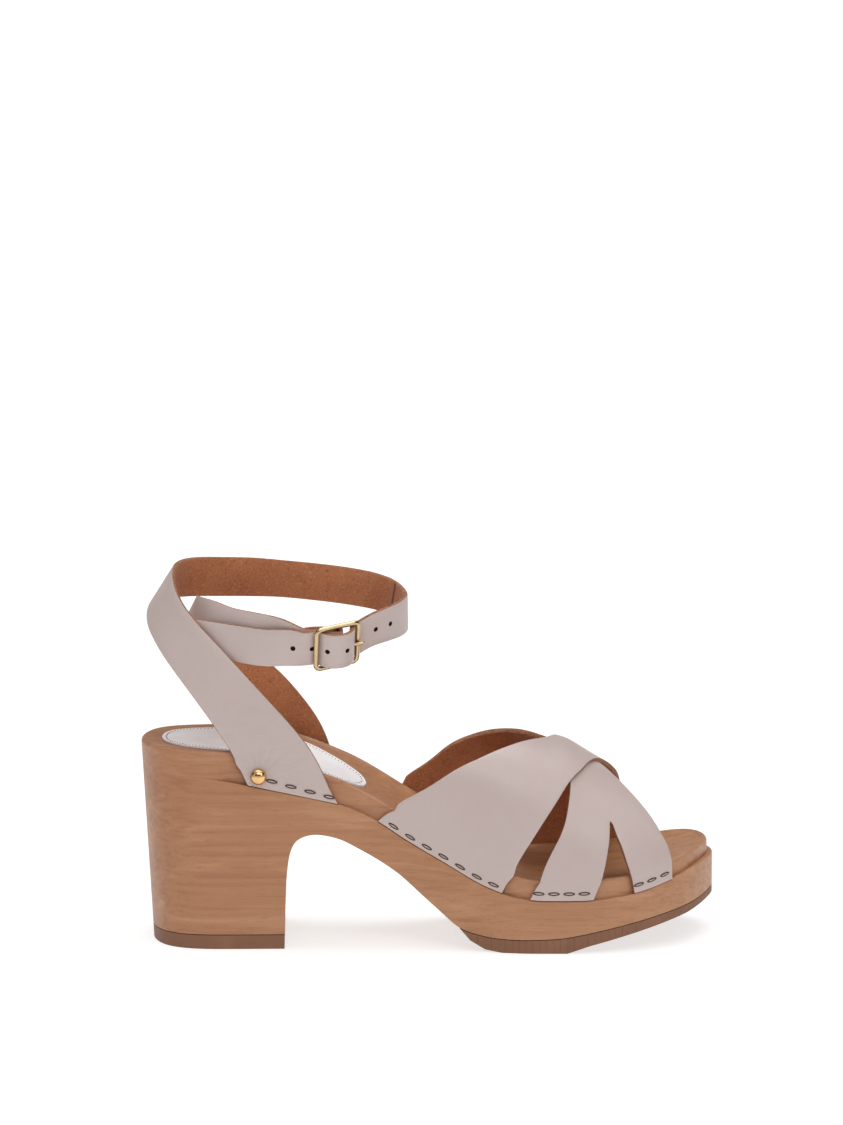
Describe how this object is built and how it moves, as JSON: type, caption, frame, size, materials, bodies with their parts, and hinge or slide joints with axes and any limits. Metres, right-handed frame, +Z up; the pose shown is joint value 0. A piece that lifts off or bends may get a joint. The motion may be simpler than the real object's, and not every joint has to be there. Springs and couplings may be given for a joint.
{
  "type": "high heeled wooden sandal",
  "caption": "Right sandal on a carved wooden block heel sole, with forked leather vamp straps, a buckled ankle strap, staples and dome nails",
  "frame": {"origin": "Middle of the heel lift's floor face.", "axes": "+X points to the toe, +Y to the inner (medial) side of the foot, +Z up."},
  "size_m": [0.2289, 0.091, 0.1497],
  "materials": {
    "alder_wood": "oiled, fine straight grain",
    "rubber": "matte brown, fine cross ribs under the forefoot",
    "pale_leather": "smooth nude pink with raw tan edges",
    "sock_pad": "thin pale pad with a dotted border",
    "pale_gold": "polished pale gold",
    "brass": "polished",
    "staple_steel": "dull drawn wire"
  },
  "bodies": {
    "root": {"wooden_sole": "alder_wood", "forefoot_outsole": "rubber", "heel_lift": "rubber", "heel_sock": "sock_pad", "vamp_straps": "pale_leather", "ankle_strap_lateral": "pale_leather", "ankle_strap_medial": "pale_leather", "buckle_frame": "pale_gold", "buckle_prong": "pale_gold", "dome_nail_lateral": "brass", "dome_nail_medial": "brass", "staple_lateral_vamp_base_1": "staple_steel", "staple_lateral_vamp_base_2": "staple_steel", "staple_lateral_vamp_base_3": "staple_steel", "staple_lateral_vamp_base_4": "staple_steel", "staple_lateral_vamp_base_5": "staple_steel", "staple_lateral_vamp_base_6": "staple_steel", "staple_lateral_vamp_base_7": "staple_steel", "staple_lateral_vamp_rear_tine_1": "staple_steel", "staple_lateral_vamp_rear_tine_2": "staple_steel", "staple_lateral_vamp_rear_tine_3": "staple_steel", "staple_lateral_vamp_rear_tine_4": "staple_steel", "staple_lateral_vamp_front_tine_1": "staple_steel", "staple_lateral_vamp_front_tine_2": "staple_steel", "staple_lateral_vamp_front_tine_3": "staple_steel", "staple_lateral_ankle_1": "staple_steel", "staple_lateral_ankle_2": "staple_steel", "staple_lateral_ankle_3": "staple_steel", "staple_lateral_ankle_4": "staple_steel", "staple_medial_vamp_base_1": "staple_steel", "staple_medial_vamp_base_2": "staple_steel", "staple_medial_vamp_base_3": "staple_steel", "staple_medial_vamp_base_4": "staple_steel", "staple_medial_vamp_base_5": "staple_steel", "staple_medial_vamp_base_6": "staple_steel", "staple_medial_vamp_base_7": "staple_steel", "staple_medial_vamp_rear_tine_1": "staple_steel", "staple_medial_vamp_rear_tine_2": "staple_steel", "staple_medial_vamp_rear_tine_3": "staple_steel", "staple_medial_vamp_rear_tine_4": "staple_steel", "staple_medial_vamp_front_tine_1": "staple_steel", "staple_medial_vamp_front_tine_2": "staple_steel", "staple_medial_vamp_front_tine_3": "staple_steel", "staple_medial_ankle_1": "staple_steel", "staple_medial_ankle_2": "staple_steel", "staple_medial_ankle_3": "staple_steel", "staple_medial_ankle_4": "staple_steel"}
  },
  "joints": []
}
